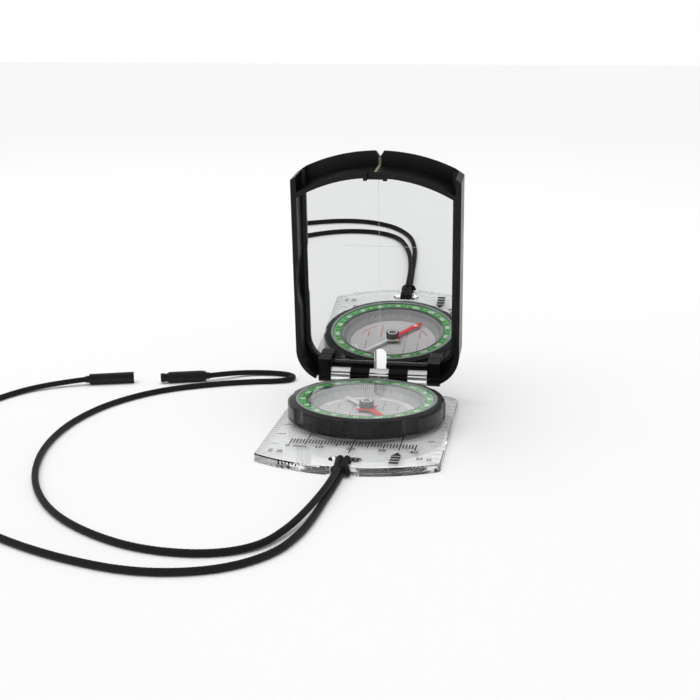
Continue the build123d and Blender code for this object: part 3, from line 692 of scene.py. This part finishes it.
def add_mirror_border(material):
    """Black border printed down both sides of the mirror and round its lower corners."""
    mesh = bmesh.new()
    high, low, radius = 83.0, 20.3, 8.0
    inner, outer = 25.6, 27.0
    out = -LID_BACK * INK
    for side in (-1, 1):
        edge = [(high, 0.0)]
        for step in range(13):
            angle = math.radians(90 * step / 12)
            edge.append((low - radius * math.sin(angle), radius * (1 - math.cos(angle))))
        rows = []
        for up, inset in edge:
            near = lid_place(side * (inner - inset), up, MIRROR_FACE).translation
            far = lid_place(side * (outer - inset), up, MIRROR_FACE).translation
            rows.append([mesh.verts.new(point) for point in (near, far, far + out, near + out)])
        for row, after in zip(rows, rows[1:]):
            for index in range(4):
                other = (index + 1) % 4
                mesh.faces.new((row[index], row[other], after[other], after[index]))
        mesh.faces.new(rows[0])
        mesh.faces.new(rows[-1][::-1])
    piece("mirror_border", mesh, "lid", material)


# ---------------------------------------------------------------- finishes of the CAD nodes
def paint_nodes():
    clear_plate = clear("plate_acrylic", (0.95, 0.955, 0.955), (0.975, 0.98, 0.98))
    window = clear("window_acrylic", (0.98, 0.985, 0.985), (0.97, 0.97, 0.97), (0.0, 0.015), 1.18)
    capsule = clear("capsule_acrylic", (0.90, 0.91, 0.91), (0.93, 0.94, 0.94))
    gloss_black = plastic("gloss_black", (0.004, 0.004, 0.0045), (0.007, 0.007, 0.0075),
                          (0.28, 0.38), 900, 0.004 * MM, gloss=0.2)
    satin_black = plastic("satin_black", (0.009, 0.0095, 0.0095), (0.014, 0.0145, 0.0145),
                          (0.22, 0.34), 2600, 0.006 * MM, 0.2 * MM, 0.3)
    connector = plastic("connector_black", (0.006, 0.006, 0.006), (0.010, 0.010, 0.010),
                        (0.35, 0.5), 3000, 0.01 * MM, 0.15 * MM, 0.25)
    steel = metal("pin_steel", (0.62, 0.62, 0.63), (0.15, 0.32), (0.02, 1, 1))
    bright = metal("bright_steel", (0.72, 0.72, 0.73), (0.1, 0.25))
    finishes = {
        "base_plate": clear_plate,
        "hinge_pin": steel,
        "lid_shell": gloss_black, "lid_wall_left": gloss_black, "lid_wall_right": gloss_black,
        "mirror": mirror_glass(),
        "mirror_tape": plastic("foam_tape", (0.70, 0.70, 0.68), (0.78, 0.78, 0.76),
                               (0.8, 0.95), 3000, 0.05 * MM),
        "sight_line": plastic("luminous_strip", (0.20, 0.20, 0.13), (0.26, 0.26, 0.17),
                              (0.5, 0.7), 2000, 0.01 * MM),
        "bezel_ring": satin_black,
        "capsule_body": capsule,
        "retaining_ring": bright,
        "scale_ring": plastic("scale_grey", (0.42, 0.425, 0.43), (0.48, 0.485, 0.49),
                              (0.4, 0.55), 1500, 0.005 * MM),
        "graduation_ring": plastic("dial_green", (0.012, 0.26, 0.020), (0.016, 0.30, 0.026),
                                   (0.4, 0.55), 1500, 0.004 * MM),
        "trim_ring": plastic("trim_grey", (0.24, 0.28, 0.26), (0.30, 0.34, 0.32),
                             (0.3, 0.45), 1500, 0.004 * MM),
        "dial_window": window,
        "orienting_disc": printed_film(),
        "pivot_base": plastic("pivot_black", (0.03, 0.03, 0.03), (0.04, 0.04, 0.04),
                              (0.3, 0.5), 2000, 0.01 * MM),
        "pivot_pin": bright,
        "north_arm": plastic("needle_red", (0.70, 0.012, 0.008), (0.80, 0.018, 0.012),
                             (0.35, 0.5), 2500, 0.01 * MM),
        "south_arm": plastic("needle_white", (0.74, 0.74, 0.72), (0.82, 0.82, 0.80),
                             (0.35, 0.5), 2500, 0.01 * MM),
        "needle_magnet": metal("magnet_dark", (0.10, 0.10, 0.105), (0.35, 0.5)),
        "needle_hub": plastic("hub_dark", (0.020, 0.020, 0.022), (0.028, 0.028, 0.030),
                              (0.1, 0.2), 1500, 0.004 * MM),
        "jewel_bearing": clear("jewel_clear", (0.95, 0.96, 0.98), (0.95, 0.95, 0.95),
                               (0.0, 0.02), 1.77),
        "plug_relief": connector, "plug_body": connector, "plug_tip": connector,
        "socket_relief": connector, "socket_body": connector,
    }
    for name, material in finishes.items():
        data = nodes[name].data
        data.materials.clear()
        data.materials.append(material)


# ---------------------------------------------------------------- build
add_camera()
add_floor()
add_light()
set_light_paths()
paint_nodes()
add_lanyard()

black_ink = ink("black_ink", (0.012, 0.012, 0.013))
grey_ink = ink("grey_ink", (0.05, 0.05, 0.05))
white_ink = ink("white_ink", (0.80, 0.82, 0.80))
red_ink = ink("red_ink", (0.45, 0.02, 0.02))
add_rule(black_ink)
add_side_scales(grey_ink)
add_arrow(black_ink)
add_degrees(white_ink)
add_inner_ticks(black_ink)
add_floor_print(red_ink, grey_ink, white_ink)
add_needle_spots(white_ink)
add_mirror_marks(ink("hairline", (0.62, 0.63, 0.63)), metal("mirror_lip", (0.8, 0.8, 0.8), (0.15, 0.3)))
add_mirror_border(black_ink)
